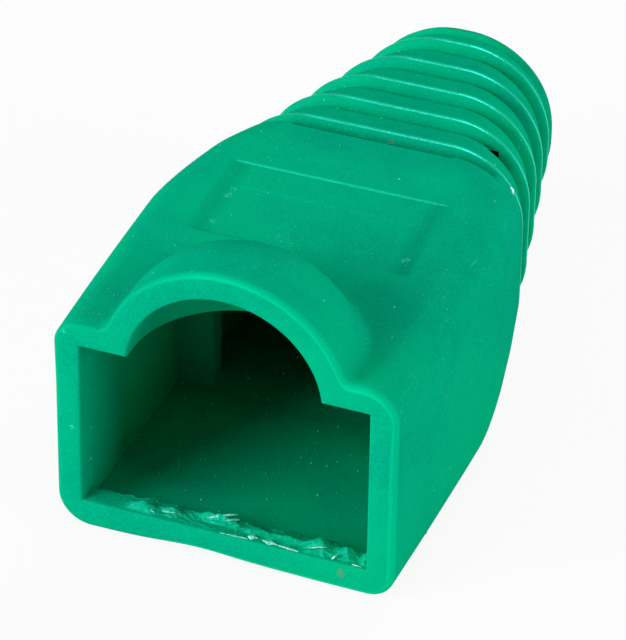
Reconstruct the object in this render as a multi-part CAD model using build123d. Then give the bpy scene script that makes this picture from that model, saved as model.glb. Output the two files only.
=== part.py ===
"""Strain relief boot for an eight-way modular plug: one soft moulding.

Millimetres, +Z up. The boot is drawn with its mouth at Y = 0 and its tail
towards +Y, and it is moved at the end so that its length is centred on Y = 0.
"""
import os

from build123d import *

# Body, from the mouth to the neck
MOUTH_WIDTH = 14.2
MOUTH_HEIGHT = 9.6
SHOULDER_WIDTH = 14.8
CROWN_HEIGHT = 10.4
STRAIGHT_LENGTH = 9.8
TAPER_LENGTH = 7.0
EDGE_RADIUS_TOP = 1.25
EDGE_RADIUS_LOW = 1.25
MOUTH_ROUNDING = 0.2
INNER_ROUNDING = 0.1

# Tail
AXIS_HEIGHT = 5.2
NECK_WIDTH = 12.8
NECK_HEIGHT = 10.0
NECK_RADIUS = 3.2
TIP_WIDTH = 8.1
TIP_HEIGHT = 8.3
TIP_RADIUS = 4.0
RING_COUNT = 5
RING_PITCH = 2.28
RING_FALL = 0.38
RING_LEAD = 0.35
GROOVE_WIDTH = 0.2
GROOVE_DEPTH = 0.5
TIP_ROUNDING = 0.8

# Flex slots at the corners of the second groove, and the webs that close the first one at the sides
SLOT_WIDTH = 0.45
SLOT_INSIDE = 3.4
SLOT_LOW = 3.15
SLOT_HIGH = 4.1
SIDE_WEB_HEIGHT = 8.6

# Hollow for the plug, and the passage for the cable
CAVITY_WIDTH = 12.0
CEILING_HEIGHT = 8.6
FLOOR_THICKNESS = 0.8
LIP_DEPTH = 1.0
LIP_RISE = 0.45
STOP_GAP = 8.9
STOP_DEPTH = 0.9
THROAT_LENGTH = 6.2
THROAT_WIDTH = 9.0
THROAT_HEIGHT = 6.8
FUNNEL_RADIUS = 4.3
BORE_RADIUS = 3.1
BORE_LENGTH = 6.2

# Hood over the plug's latch, outside and inside
HOOD_AXIS_HEIGHT = 8.1
HOOD_RADIUS = 5.13
HOOD_STRAIGHT = 1.6
HOOD_NOSE = 4.3
HOOD_WALL = 1.07
HOLLOW_STRAIGHT = 0.85

# Shallow label field on the top
FIELD_WIDTH = 8.8
FIELD_LENGTH = 4.75
FIELD_START = 7.5
FIELD_DEPTH = 0.08

NECK_Y = STRAIGHT_LENGTH + TAPER_LENGTH
CROWN_Y = STRAIGHT_LENGTH + 2 * TAPER_LENGTH / 3
TOTAL_LENGTH = NECK_Y + RING_COUNT * RING_PITCH


def section(y, width, low, high, radius_low, radius_high):
    """A rounded rectangle across the boot at depth y."""
    limit = 0.49 * min(width, high - low)
    low_r = min(radius_low, limit)
    high_r = min(radius_high, limit)
    corners = [(-width / 2, y, low), (width / 2, y, low), (width / 2, y, high), (-width / 2, y, high)]
    outline = FilletPolyline(*corners, radius=[low_r, low_r, high_r, high_r], close=True)
    return make_face(outline.edges())


def top_at(y):
    """Height of the body's top face at depth y."""
    if y <= CROWN_Y:
        return MOUTH_HEIGHT + (CROWN_HEIGHT - MOUTH_HEIGHT) * y / CROWN_Y
    share = (y - CROWN_Y) / (NECK_Y - CROWN_Y)
    return CROWN_HEIGHT + (AXIS_HEIGHT + NECK_HEIGHT / 2 - CROWN_HEIGHT) * share


def body_section(y, inset=0.0):
    """Section of the body: straight sides first, then a curve in to the neck."""
    along = min(y / STRAIGHT_LENGTH, 1.0)
    curve = max(y - STRAIGHT_LENGTH, 0.0) / TAPER_LENGTH
    width = MOUTH_WIDTH + (SHOULDER_WIDTH - MOUTH_WIDTH) * along
    width += (NECK_WIDTH - SHOULDER_WIDTH) * curve**1.5
    low = (AXIS_HEIGHT - NECK_HEIGHT / 2) * curve**2
    swell = 0.2 * along**2 + 0.8 * curve**1.3
    radius_low = EDGE_RADIUS_LOW + (NECK_RADIUS - EDGE_RADIUS_LOW) * swell
    radius_high = EDGE_RADIUS_TOP + (NECK_RADIUS - EDGE_RADIUS_TOP) * swell
    top = top_at(y) - inset
    return section(y, width - 2 * inset, low + inset, top, radius_low - inset, radius_high - inset)


def tail_section(y, inset):
    """Section of the tail at depth y, shrunk all round by inset."""
    share = (y - NECK_Y) / (TOTAL_LENGTH - NECK_Y)
    width = NECK_WIDTH + (TIP_WIDTH - NECK_WIDTH) * share - 2 * inset
    height = NECK_HEIGHT + (TIP_HEIGHT - NECK_HEIGHT) * share - 2 * inset
    radius = NECK_RADIUS + (TIP_RADIUS - NECK_RADIUS) * share - inset
    return section(y, width, AXIS_HEIGHT - height / 2, AXIS_HEIGHT + height / 2, radius, radius)


def body():
    """Outside of the body, up to the first groove."""
    mouth = [body_section(0, MOUTH_ROUNDING), body_section(MOUTH_ROUNDING)]
    straight = loft(mouth + [body_section(STRAIGHT_LENGTH)], ruled=True)
    end = NECK_Y - GROOVE_WIDTH
    depths = [STRAIGHT_LENGTH + (end - STRAIGHT_LENGTH) * k / 3 for k in range(4)]
    return straight + loft([body_section(y) for y in depths])


def ring_steps(index):
    """Depths and insets of one ring: groove, steep face to the mouth, crest, and fall to the tail."""
    start = NECK_Y + index * RING_PITCH
    end = start + RING_PITCH
    steps = [
        (start - 0.3 * GROOVE_WIDTH, GROOVE_DEPTH),
        (start + 0.3 * RING_LEAD, 0.25 * GROOVE_DEPTH),
        (start + RING_LEAD, 0.0),
    ]
    if index < RING_COUNT - 1:
        steps.append((end - GROOVE_WIDTH, RING_FALL))
    else:
        steps.append((end - TIP_ROUNDING, 0.0))
        steps.append((end - 0.3 * TIP_ROUNDING, 0.3 * TIP_ROUNDING))
        steps.append((end, TIP_ROUNDING))
    return steps


def tail():
    """The ringed tail in one skin, and the webs beside the first groove."""
    root = NECK_Y - GROOVE_WIDTH
    steps = [(root, GROOVE_DEPTH)]
    for index in range(RING_COUNT):
        steps += ring_steps(index)
    skin = loft([tail_section(y, inset) for y, inset in steps], ruled=True)
    web = loft([tail_section(root, 0.0), tail_section(NECK_Y + RING_LEAD, 0.0)], ruled=True)
    band = Pos(0, NECK_Y, AXIS_HEIGHT) * Box(2 * NECK_WIDTH, 4 * RING_PITCH, SIDE_WEB_HEIGHT)
    return skin + (web & band)


def dome(radius, straight, nose, rounding):
    """The hood's form: a round bar along Y with a rounded nose."""
    tip = radius - nose
    with BuildSketch(Plane.XY) as half:
        with BuildLine():
            Line((0, 0), (radius - rounding, 0))
            Line((radius - rounding, 0), (radius, abs(rounding)))
            Line((radius, abs(rounding)), (radius, straight))
            CenterArc((tip, straight), nose, 0, 90)
            if tip > 0:
                Line((tip, straight + nose), (0, straight + nose))
            Line((0, straight + nose), (0, 0))
        make_face()
    return Pos(0, 0, HOOD_AXIS_HEIGHT) * revolve(half.sketch, Axis.Y)


def rectangle(y, width, low, high):
    """A plain rectangle across the boot at depth y."""
    corners = [(-width / 2, y, low), (width / 2, y, low), (width / 2, y, high), (-width / 2, y, high)]
    return make_face(Polyline(*corners, close=True).edges())


def along_axis(shape, start, length):
    """Places a round cutter on the tail's axis, from start towards the tail."""
    return Pos(0, start + length / 2, AXIS_HEIGHT) * Rot(-90, 0, 0) * shape


def cavity():
    """Hollow for the plug, its taper to the throat, and the funnel to the cable's bore."""
    over = 1.0
    plug = [rectangle(y, CAVITY_WIDTH, FLOOR_THICKNESS, CEILING_HEIGHT) for y in (-over, STRAIGHT_LENGTH)]
    throat_y = STRAIGHT_LENGTH + THROAT_LENGTH
    low = AXIS_HEIGHT - THROAT_HEIGHT / 2
    throat = rectangle(throat_y, THROAT_WIDTH, low, low + THROAT_HEIGHT)
    bore_y = TOTAL_LENGTH - BORE_LENGTH
    funnel = Cone(FUNNEL_RADIUS, BORE_RADIUS, bore_y - throat_y)
    bore = Cylinder(BORE_RADIUS, BORE_LENGTH + over)
    hollow = loft(plug + [throat], ruled=True)
    return hollow + along_axis(funnel, throat_y, bore_y - throat_y) + along_axis(bore, bore_y, BORE_LENGTH + over)


def lip():
    """Low step along the mouth's lower edge, behind which the floor drops."""
    sink = FLOOR_THICKNESS / 2
    height = sink + LIP_RISE
    return Pos(0, LIP_DEPTH / 2, FLOOR_THICKNESS - sink + height / 2) * Box(CAVITY_WIDTH, LIP_DEPTH, height)


def label_field():
    """Cutter for the shallow field, which follows the rising top face."""
    ends = (FIELD_START, FIELD_START + FIELD_LENGTH)
    return loft([rectangle(y, FIELD_WIDTH, top_at(y) - FIELD_DEPTH, CROWN_HEIGHT + 1.0) for y in ends], ruled=True)


def plug_stops():
    """Upright ribs on both side walls of the hollow, where the plug's body ends."""
    sink = FLOOR_THICKNESS / 2
    width = (CAVITY_WIDTH - STOP_GAP) / 2 + sink
    height = CEILING_HEIGHT - FLOOR_THICKNESS + 2 * sink
    middle = (CEILING_HEIGHT + FLOOR_THICKNESS) / 2
    stop = Box(width, STOP_DEPTH, height)
    x = (STOP_GAP + width) / 2
    y = STRAIGHT_LENGTH + STOP_DEPTH / 2
    return [Pos(side * x, y, middle) * stop for side in (-1, 1)]


def flex_slots():
    """Cutters at the four corners of the second groove."""
    centre = NECK_Y + RING_PITCH - SLOT_WIDTH / 2
    height = SLOT_HIGH - SLOT_LOW
    x = SLOT_INSIDE + NECK_WIDTH / 2
    z = (SLOT_HIGH + SLOT_LOW) / 2
    slot = Box(NECK_WIDTH, SLOT_WIDTH, height)
    return [Pos(i * x, centre, AXIS_HEIGHT + k * z) * slot for i in (-1, 1) for k in (-1, 1)]


def boot():
    """The whole moulding in its final place."""
    shape = body() + tail() + dome(HOOD_RADIUS, HOOD_STRAIGHT, HOOD_NOSE, MOUTH_ROUNDING)
    shape -= label_field()
    shape -= cavity()
    inner = HOOD_RADIUS - HOOD_WALL
    shape -= dome(inner, HOLLOW_STRAIGHT, inner, -INNER_ROUNDING)
    shape += lip()
    for stop in plug_stops():
        shape += stop
    for slot in flex_slots():
        shape -= slot
    return Pos(0, -TOTAL_LENGTH / 2, 0) * shape


os.makedirs("parts", exist_ok=True)
solid = boot()
print("solids", len(solid.solids()), "volume mm3", round(solid.volume, 1), "valid", solid.is_valid)
box = solid.bounding_box()
print("box", [round(v, 3) for v in (*box.min, *box.max)])
export_step(solid.solids()[0] if len(solid.solids()) == 1 else solid, "parts/boot.step")
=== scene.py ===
"""A soft strain relief boot for a modular plug: hooded mouth, tapering body and ringed tail.

Shapes are drawn in metres with the mouth at Y = 0, then moved back by half the length onto the CAD solid.
"""

import bmesh
import bpy
import numpy as np
from bpy.props import FloatProperty, FloatVectorProperty, IntProperty, PointerProperty
from mathutils import Matrix, Vector, noise


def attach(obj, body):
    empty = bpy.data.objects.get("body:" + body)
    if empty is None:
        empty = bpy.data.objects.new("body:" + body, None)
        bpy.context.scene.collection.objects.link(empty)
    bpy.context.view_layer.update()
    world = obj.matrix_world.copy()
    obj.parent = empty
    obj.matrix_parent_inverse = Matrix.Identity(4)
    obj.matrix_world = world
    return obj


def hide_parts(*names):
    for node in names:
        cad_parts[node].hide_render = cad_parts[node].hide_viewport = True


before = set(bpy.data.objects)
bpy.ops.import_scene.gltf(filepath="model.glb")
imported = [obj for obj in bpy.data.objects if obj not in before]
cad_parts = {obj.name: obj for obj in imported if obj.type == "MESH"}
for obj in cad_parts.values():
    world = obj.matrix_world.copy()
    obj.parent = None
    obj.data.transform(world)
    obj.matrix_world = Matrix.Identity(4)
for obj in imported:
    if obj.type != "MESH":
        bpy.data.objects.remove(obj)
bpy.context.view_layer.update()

bl_info = {
    "name": "Strain relief boot",
    "version": (1, 0, 0),
    "blender": (4, 5, 0),
    "location": "View3D > Sidebar > Boot",
    "description": "Makes a moulded strain relief boot, its lip flash, its dust and a plain studio",
    "category": "Add Mesh",
}

MM = 0.001
NODE = "boot"
BODY = "root"
PICTURE_SIZE = (626, 640)


def number(name, description, default, **limits):
    """A property that holds one number, not below nothing."""
    return FloatProperty(name=name, description=description, default=default, min=0.0, **limits)


def length(name, description, default):
    """A length, given in millimetres and kept in metres."""
    return number(name, description, default * MM, unit="LENGTH", precision=5)


def colour(name, description, *default):
    """A linear colour property."""
    limits = {"size": 4, "min": 0.0, "max": 1.0, "subtype": "COLOR"}
    return FloatVectorProperty(name=name, description=description, default=(*default, 1.0), **limits)


class BootShape(bpy.types.PropertyGroup):
    """Sizes of the moulding's body, hood and hollow."""

    total_length: length("Total length", "From the mouth to the tip of the tail", 28.2)
    mouth_width: length("Mouth width", "Outside width at the mouth", 14.2)
    mouth_height: length("Mouth height", "Outside height there, without the hood", 9.6)
    shoulder_width: length("Shoulder width", "Outside width where the sides curve in", 14.8)
    crown_height: length("Crown height", "Highest point of the body's top", 10.4)
    crown_place: length("Crown place", "Its distance from the mouth", 14.467)
    straight_length: length("Straight length", "Length of the straight sides", 9.8)
    neck_place: length("Neck place", "Where the body ends and the tail starts", 16.8)
    neck_width: length("Neck width", "Outside width where the tail starts", 12.8)
    neck_height: length("Neck height", "Outside height where the tail starts", 10.0)
    tip_width: length("Tip width", "Outside width at the tip of the tail", 8.1)
    tip_height: length("Tip height", "Outside height at the tip of the tail", 8.3)
    axis_height: length("Axis height", "Height of the cable's axis above the base", 5.2)
    hood_radius: length("Hood radius", "Outside radius of the latch hood", 5.125)
    hood_height: length("Hood axis height", "Height of the hood's axis above the base", 8.1)
    hood_straight: length("Hood straight", "Length of the hood before its nose", 1.6)
    hood_nose: length("Hood nose", "Rounding radius of the hood's nose", 4.3)
    hood_hollow: length("Hood hollow", "Inside radius of the latch hood", 4.06)
    hollow_width: length("Hollow width", "Inside width of the mouth", 12.0)
    hollow_ceiling: length("Hollow ceiling", "Height of the hollow's ceiling", 8.6)
    floor_thickness: length("Floor thickness", "Thickness of the floor under the plug", 0.8)
    lip_rise: length("Lip rise", "Height of the lip above the floor", 0.45)
    stop_gap: length("Stop gap", "Distance between the plug's stops", 8.9)
    stop_depth: length("Stop depth", "Length of the stops along the boot", 0.9)
    bore_radius: length("Bore radius", "Radius of the cable's bore", 3.1)
    edge_soft: length("Edge softness", "Rounding of the mouth's edge at the sides", 0.28)
    edge_crisp: length("Edge crispness", "Rounding of the mouth's edge on top", 0.16)
    corner_lean: length("Corner lean", "How uneven the mouth's corner radii are", 0.18)
    crease_soft: length("Crease softness", "Fillet between the hood and the body", 0.42)
    field_depth: length("Field depth", "Depth of the marking field on top", 0.11)
    dent_rise: length("Dent rise", "Rise of the dent in the mouth's lower edge", 0.2)


class BootTail(bpy.types.PropertyGroup):
    """Sizes of the tail's rings."""

    ring_count: IntProperty(name="Rings", description="Number of rings on the tail", default=5, min=1, max=12)
    ring_pitch: length("Ring pitch", "Distance from one ring to the next", 2.28)
    groove_lead: length("Groove lead", "How far a groove lies before its ring", 0.06)
    groove_depth: length("Groove depth", "Depth of the grooves between the rings", 0.5)
    web_height: length("Web height", "Height of the webs in the first groove", 8.6)
    body_end: length("Body end", "How far the body ends before the first ring", 0.58)
    slot_top: length("Slot top", "Top of a flex slot above the cable's axis", 4.1)
    slot_bottom: length("Slot bottom", "Bottom of a flex slot above that axis", 3.15)
    slot_inside: length("Slot inside", "Distance of the slots from the middle", 3.4)
    slot_width: length("Slot width", "Width of the flex slots along the cable", 0.45)


class BootFinish(bpy.types.PropertyGroup):
    """Colours and finishes of the moulding and of what lies on it."""

    green: colour("Green", "Base colour of the moulded compound", 0.0, 0.425, 0.222)
    green_deep: colour("Deep green", "Colour of the darker mottling", 0.0, 0.335, 0.185)
    green_warm: colour("Warm green", "Colour of the broad, slightly warmer clouds", 0.0, 0.43, 0.195)
    # Painted shade: the darker green that the inside of the hollow, the marking field's sides and the hood's
    # crease are mixed towards
    green_shade: colour("Shade green", "Colour deep inside the hollow", 0.0, 0.1, 0.035)
    # Painted highlight: the lighter green for the mouth's outer edge and the ring crests
    green_painted_highlight: colour("Rubbed green", "Colour of the rubbed edges and crests", 0.0, 0.66, 0.32)
    dust: colour("Dust", "Colour of the pale dust specks", 0.08, 0.78, 0.6)
    # Partly the whitened colour of torn compound, partly a painted glint that makes the slivers look brighter
    sliver: colour("Sliver", "Colour of the torn, whitened slivers", 0.25, 0.9, 0.7)
    dirt: colour("Dirt", "Colour of the brown dirt", 0.2, 0.2, 0.11)
    roughness: number("Roughness", "Roughness of the dull skin", 0.6, max=1.0, subtype="FACTOR")
    gloss: number("Gloss roughness", "Roughness of the rubbed crests", 0.3, max=1.0, subtype="FACTOR")
    specks: IntProperty(name="Specks", description="Rough number of specks", default=2600, min=0, max=4000)
    speck_size: length("Speck size", "Size of the largest dust specks", 0.05)
    speck_seed: IntProperty(name="Speck seed", description="Seed of the dust's places", default=4, min=0)


class BootStage(bpy.types.PropertyGroup):
    """The studio's floor and lights."""

    floor: colour("Floor", "Colour of the floor", 0.78, 0.78, 0.78)
    world: number("World light", "Strength of the even light", 0.15)
    front: number("Front light", "Power of the low softbox in front on the left", 2.95, unit="POWER")
    side: number("Side light", "Power of the low softbox on the right", 1.25, unit="POWER")
    back: number("Back light", "Power of the softbox behind", 0.85, unit="POWER")
    top: number("Top light", "Power of the overhead strip lamp", 0.57, unit="POWER")


# Node helpers


def arithmetic(operation, swapped=False):
    """A method that joins a wire and another value by a maths node."""

    def method(self, other):
        return self.calculate(operation, *((other, self) if swapped else (self, other)))

    return method


class Wire:
    """A node's output socket that Python arithmetic can be done on."""

    def __init__(self, nodes, socket):
        self.nodes = nodes
        self.socket = socket

    def calculate(self, operation, *values, clamp=False):
        """Adds a maths node."""
        settings = {"operation": operation, "use_clamp": clamp}
        return self.nodes.out("ShaderNodeMath", settings, dict(enumerate(values)))

    __add__ = arithmetic("ADD")
    __radd__ = arithmetic("ADD", swapped=True)
    __sub__ = arithmetic("SUBTRACT")
    __rsub__ = arithmetic("SUBTRACT", swapped=True)
    __mul__ = arithmetic("MULTIPLY")
    __rmul__ = arithmetic("MULTIPLY", swapped=True)
    __truediv__ = arithmetic("DIVIDE")
    __gt__ = arithmetic("GREATER_THAN")
    __lt__ = arithmetic("LESS_THAN")

    def absolute(self):
        """The value without its sign."""
        return self.calculate("ABSOLUTE", self)

    def clamped(self):
        """The value held between nothing and one."""
        return self.calculate("ADD", self, 0.0, clamp=True)


class Nodes:
    """Adds nodes to one tree."""

    def __init__(self, tree):
        self.tree = tree
        tree.nodes.clear()

    def make(self, kind, settings=None, inputs=None):
        """Adds a node: its settings first, then the values or links of its sockets."""
        node = self.tree.nodes.new(kind)
        for name, value in (settings or {}).items():
            if name == "stops":
                self._set_stops(node.color_ramp, value)
            elif name == "curve":
                self._set_curve(node.mapping, value)
            else:
                setattr(node, name, value)
        for key, value in (inputs or {}).items():
            if isinstance(value, Wire):
                self.tree.links.new(value.socket, node.inputs[key])
            else:
                node.inputs[key].default_value = value
        return node

    def out(self, kind, settings=None, inputs=None, output=0):
        """Adds a node and returns one of its outputs."""
        return Wire(self, self.make(kind, settings, inputs).outputs[output])

    @staticmethod
    def _set_stops(ramp, stops):
        while len(ramp.elements) > len(stops):
            ramp.elements.remove(ramp.elements[-1])
        while len(ramp.elements) < len(stops):
            ramp.elements.new(1.0)
        for element, (place, shade) in zip(ramp.elements, stops):
            element.position = place
            element.color = (shade, shade, shade, 1.0)

    @staticmethod
    def _set_curve(mapping, points):
        curve = mapping.curves[0]
        while len(curve.points) < len(points):
            curve.points.new(0.5, 0.5)
        for point, (place, value, handle) in zip(curve.points, points):
            point.location = (place, value)
            point.handle_type = handle
        mapping.update()

    def mix(self, factor, first, second):
        """Mixes two colours."""
        return self.out("ShaderNodeMix", {"data_type": "RGBA"}, {0: factor, 6: first, 7: second}, 2)

    def noise(self, place, scale, detail=3.0, roughness=0.5):
        """Noise with a scale in features per metre."""
        return self.out(
            "ShaderNodeTexNoise",
            inputs={"Vector": place, "Scale": scale, "Detail": detail, "Roughness": roughness},
        )

    def ramp(self, value, *stops):
        """Maps a value through a grey ramp of (place, shade) stops."""
        return self.out("ShaderNodeValToRGB", {"stops": stops}, {"Fac": value})

    def place(self):
        """The object's own coordinates."""
        return self.out("ShaderNodeTexCoord", output="Object")

    def part(self, vector, axis):
        """One of a vector's parts."""
        return self.out("ShaderNodeSeparateXYZ", inputs={"Vector": vector}, output=axis)

    def attribute(self, name):
        """A value that the mesh's points carry."""
        return self.out("ShaderNodeAttribute", {"attribute_name": name}, output="Fac")

    def bump(self, strength, distance, height, **more):
        """A bump, its distance in millimetres."""
        inputs = {"Strength": strength, "Distance": distance * MM, "Height": height, **more}
        return self.out("ShaderNodeBump", inputs=inputs)

    def surface(self, tint, roughness, normal, metallic=0.0, specular=0.0):
        """A principled surface, dull unless it is given more."""
        inputs = {"Base Color": tint, "Roughness": roughness, "Normal": normal}
        inputs |= {"Metallic": metallic, "Specular IOR Level": specular}
        return self.out("ShaderNodeBsdfPrincipled", inputs=inputs)

    def blend(self, factor, first, second):
        """Mixes two shaders."""
        return self.out("ShaderNodeMixShader", inputs={0: factor, 1: first, 2: second})

    def finish(self, shader):
        """Ends a material with its shader."""
        self.make("ShaderNodeOutputMaterial", inputs={"Surface": shader})

    def scaled(self, vector, size):
        """A vector times a number."""
        inputs = {"Vector": vector, "Scale": size}
        return self.out("ShaderNodeVectorMath", {"operation": "SCALE"}, inputs)

    def chance(self, low, high, seed):
        """A random value, or a random vector, between two others for each point."""
        if isinstance(low, tuple):
            settings, sockets, output = {"data_type": "FLOAT_VECTOR"}, (0, 1), 0
        else:
            settings, sockets, output = {"data_type": "FLOAT"}, (2, 3), 1
        inputs = {sockets[0]: low, sockets[1]: high, "Seed": seed}
        return self.out("FunctionNodeRandomValue", settings, inputs, output)


# The moulding's shape


def rise(value, start, end):
    """From nothing at a start to one at an end, which may lie below it."""
    return np.clip((value - start) / (end - start), 0, 1)


def band(value, start, full, fade, end):
    """One between two places, with a slope on either side."""
    return rise(value, start, full) * rise(value, end, fade)


def between(first, last, share):
    """A value some share of the way from one to another."""
    return first + (last - first) * share


def smooth(share):
    """Softens both ends of a rise."""
    return share**2 * (3 - 2 * share)


def bell(value, centre, width):
    """A smooth bump of height one."""
    return np.exp(-(((value - centre) / width) ** 2))


def soft_min(first, second, softness):
    """The smaller of two distances, with a fillet where they meet."""
    overlap = np.maximum(softness - np.abs(first - second), 0.0) / softness
    return np.minimum(first, second) - overlap**2 * softness / 4


def round_section(x, z, half, low, high, round_low, round_high):
    """Signed distance from a section with round corners, negative inside."""
    middle = (low + high) / 2
    corner = np.where(z > middle, round_high, round_low)
    across = np.abs(x) - (half - corner)
    up = np.abs(z - middle) - ((high - low) / 2 - corner)
    outside = np.hypot(np.maximum(across, 0), np.maximum(up, 0))
    return outside + np.minimum(np.maximum(across, up), 0) - corner


CROWN_FALL = 0.2 * MM
CROWN_SOFT = 0.06 * MM
BASE_RISE = 0.2 * MM
SIDE_BEND = 1.5
MOUTH_CORNER = 1.25 * MM
STRAIGHT_SWELL = 0.39 * MM
TAPER_SWELL = 1.56 * MM
SWELL_BEND = 1.3
TAIL_CORNER = (3.2 * MM, 4.0 * MM)


def body_section(shape, y):
    """Half width, lower and upper edge and corner radius of the body at y from the mouth."""
    along = np.clip(y / shape.straight_length, 0, 1)
    curve = rise(y, shape.straight_length, shape.neck_place)
    narrowing = (shape.shoulder_width - shape.neck_width) * curve**SIDE_BEND
    half = (between(shape.mouth_width, shape.shoulder_width, along) - narrowing) / 2
    climb = between(shape.mouth_height, shape.crown_height, y / shape.crown_place)
    past_crown = (y - shape.crown_place) / (shape.neck_place - shape.crown_place)
    high = soft_min(climb, shape.crown_height - CROWN_FALL * past_crown, CROWN_SOFT)
    corner = MOUTH_CORNER + STRAIGHT_SWELL * along**2 + TAPER_SWELL * curve**SWELL_BEND
    return half, BASE_RISE * curve**2, high, corner


def tail_section(shape, y):
    """The same for the tail without its grooves."""
    share = rise(y, shape.neck_place, shape.total_length)
    half = between(shape.neck_width, shape.tip_width, share) / 2
    tall = between(shape.neck_height, shape.tip_height, share) / 2
    return half, shape.axis_height - tall, shape.axis_height + tall, between(*TAIL_CORNER, share)


def hood_distance(shape, x, y, z, radius, straight, nose):
    """Signed distance from a round bar on the hood's axis with a rounded nose."""
    off_axis = np.hypot(x, z - shape.hood_height)
    past = np.hypot(np.maximum(off_axis - (radius - nose), 0), np.maximum(y - straight, 0)) - nose
    return np.where(y < straight, off_axis - radius, past)


def outer_hood(shape, x, y, z):
    """Signed distance from the hood's outside."""
    return hood_distance(shape, x, y, z, shape.hood_radius, shape.hood_straight, shape.hood_nose)


def outer_distance(shape, x, y, z):
    """Signed distance from the outside of the moulding, without grooves and field."""
    sections = zip(body_section(shape, y), tail_section(shape, y))
    half, low, high, corner = (np.where(y < shape.neck_place, body, tail) for body, tail in sections)
    lean = shape.corner_lean * np.sign(x) * np.clip(1 - y / shape.straight_length, 0, 1)
    plain = round_section(x, z, half, low, high, corner - lean, corner + lean)
    return soft_min(plain, outer_hood(shape, x, y, z), shape.crease_soft)


HOLLOW_STRAIGHT = 0.85 * MM
HOLLOW_TAPER = 1.5 * MM
FLOOR_CLIMB = 1.0 * MM
LIP_BACK = 1.1 * MM
LIP_SLOPE = 0.12 * MM
THROAT_START = 9.8 * MM
FUNNEL_START = 16.0 * MM
FUNNEL_END = 22.0 * MM
FUNNEL_RADIUS = 4.3 * MM


def inner_distance(shape, x, y, z):
    """Signed distance from the hollow: plug hollow, latch hollow, throat, funnel and bore."""
    share = rise(y, THROAT_START, FUNNEL_START)
    stop = (y > THROAT_START) & (y < THROAT_START + shape.stop_depth)
    half = np.where(stop, shape.stop_gap / 2, shape.hollow_width / 2 - HOLLOW_TAPER * share)
    lip = shape.lip_rise * rise(y, LIP_BACK, LIP_BACK - LIP_SLOPE)
    low = shape.floor_thickness + lip + FLOOR_CLIMB * share
    box = np.maximum(np.maximum(np.abs(x) - half, z - shape.hollow_ceiling), low - z)
    hood = hood_distance(shape, x, y, z, shape.hood_hollow, HOLLOW_STRAIGHT, shape.hood_hollow)
    radius = between(FUNNEL_RADIUS, shape.bore_radius, rise(y, FUNNEL_START, FUNNEL_END))
    funnel = np.hypot(x, z - shape.axis_height) - radius
    return np.where(y < FUNNEL_START, np.minimum(box, hood), funnel)


RAY_LENGTH = 14 * MM
HALVINGS = 40


def cast(distance, shape, angles, y, level=0.0):
    """Points where rays from the cable's axis leave a form, for one angle each."""
    y = np.broadcast_to(y, angles.shape)
    across, up = np.cos(angles), np.sin(angles)
    near = np.zeros_like(angles)
    far = np.full_like(angles, RAY_LENGTH)
    for _ in range(HALVINGS):
        middle = (near + far) / 2
        inside = distance(shape, middle * across, y, shape.axis_height + middle * up) < level
        near = np.where(inside, middle, near)
        far = np.where(inside, far, middle)
    return np.stack([near * across, y, shape.axis_height + near * up], -1)


def half_angles(shape):
    """Angles of one half of the section in degrees, with the hollow's corners among them."""

    def angle(up, across):
        return np.degrees(np.arctan2(up, across))

    wide, stop = shape.hollow_width / 2, shape.stop_gap / 2
    ceiling = shape.hollow_ceiling - shape.axis_height
    floor = shape.floor_thickness - shape.axis_height
    foot = np.sqrt(shape.hood_hollow**2 - (shape.hollow_ceiling - shape.hood_height) ** 2)
    knots = [(-90, 0), (angle(floor, stop), 11), (angle(floor, wide), 8)]
    knots += [(angle(floor + shape.lip_rise, wide), 3), (-26, 6), (19, 12), (angle(ceiling, wide), 8)]
    knots += [(angle(ceiling, stop), 8), (angle(ceiling, foot), 4)]
    knots += [(46.5, 8), (50.5, 12), (72, 20), (90, 14)]
    angles = [-90.0]
    for (start, _), (end, steps) in zip(knots, knots[1:]):
        angles.extend(np.linspace(start, end, steps + 1)[1:])
    return np.array(angles)


DETAIL_START = 16


def section_angles(shape):
    """All angles of the section in radians, and which of them are extra ones on the detailed upper half."""
    right = half_angles(shape)
    whole = np.concatenate([right, 180.0 - right[-2:0:-1]])
    middle = (whole + np.append(whole[1:], whole[0] + 360.0)) / 2
    detailed = (middle > DETAIL_START) & (middle < 180 - DETAIL_START)
    angles = np.concatenate([whole, middle[detailed]])
    order = np.argsort(angles, kind="stable")
    return np.radians(angles[order]), order >= len(whole)


FIELD = {"half": 4.55 * MM, "front": 7.5 * MM, "step": 10.95 * MM, "back": 12.53 * MM}
STEP_SHARE = 0.75
TOP_START = 3 * MM
DENT_TOP = 1.6 * MM
DENT_LENGTH = 3.2 * MM


def on_top(shape, z):
    """Whether points lie on the upper part of the section."""
    return z > shape.axis_height + TOP_START


def field_rise(shape, points):
    """How far the marking field lowers the top, and the dent raises the mouth's lower edge."""
    x, y, z = points.T

    def inside(value, edge, width):
        return rise(value, edge + width / 2, edge - width / 2)

    along = inside(-y, -FIELD["front"], 0.1 * MM) * inside(y, FIELD["back"], 0.05 * MM)
    across = inside(np.abs(x), FIELD["half"], 0.3 * MM)
    step = between(STEP_SHARE, 1.0, inside(y, FIELD["step"], 0.08 * MM))
    field = -shape.field_depth * along * across * step * on_top(shape, z)
    bulge = bell(x, -1.2 * MM, 1.9 * MM) + 0.25 * bell(x, 1.6 * MM, 2.2 * MM)
    return field + shape.dent_rise * bulge * bell(y, 0.0, DENT_LENGTH) * rise(z, DENT_TOP, 0.0)


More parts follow.
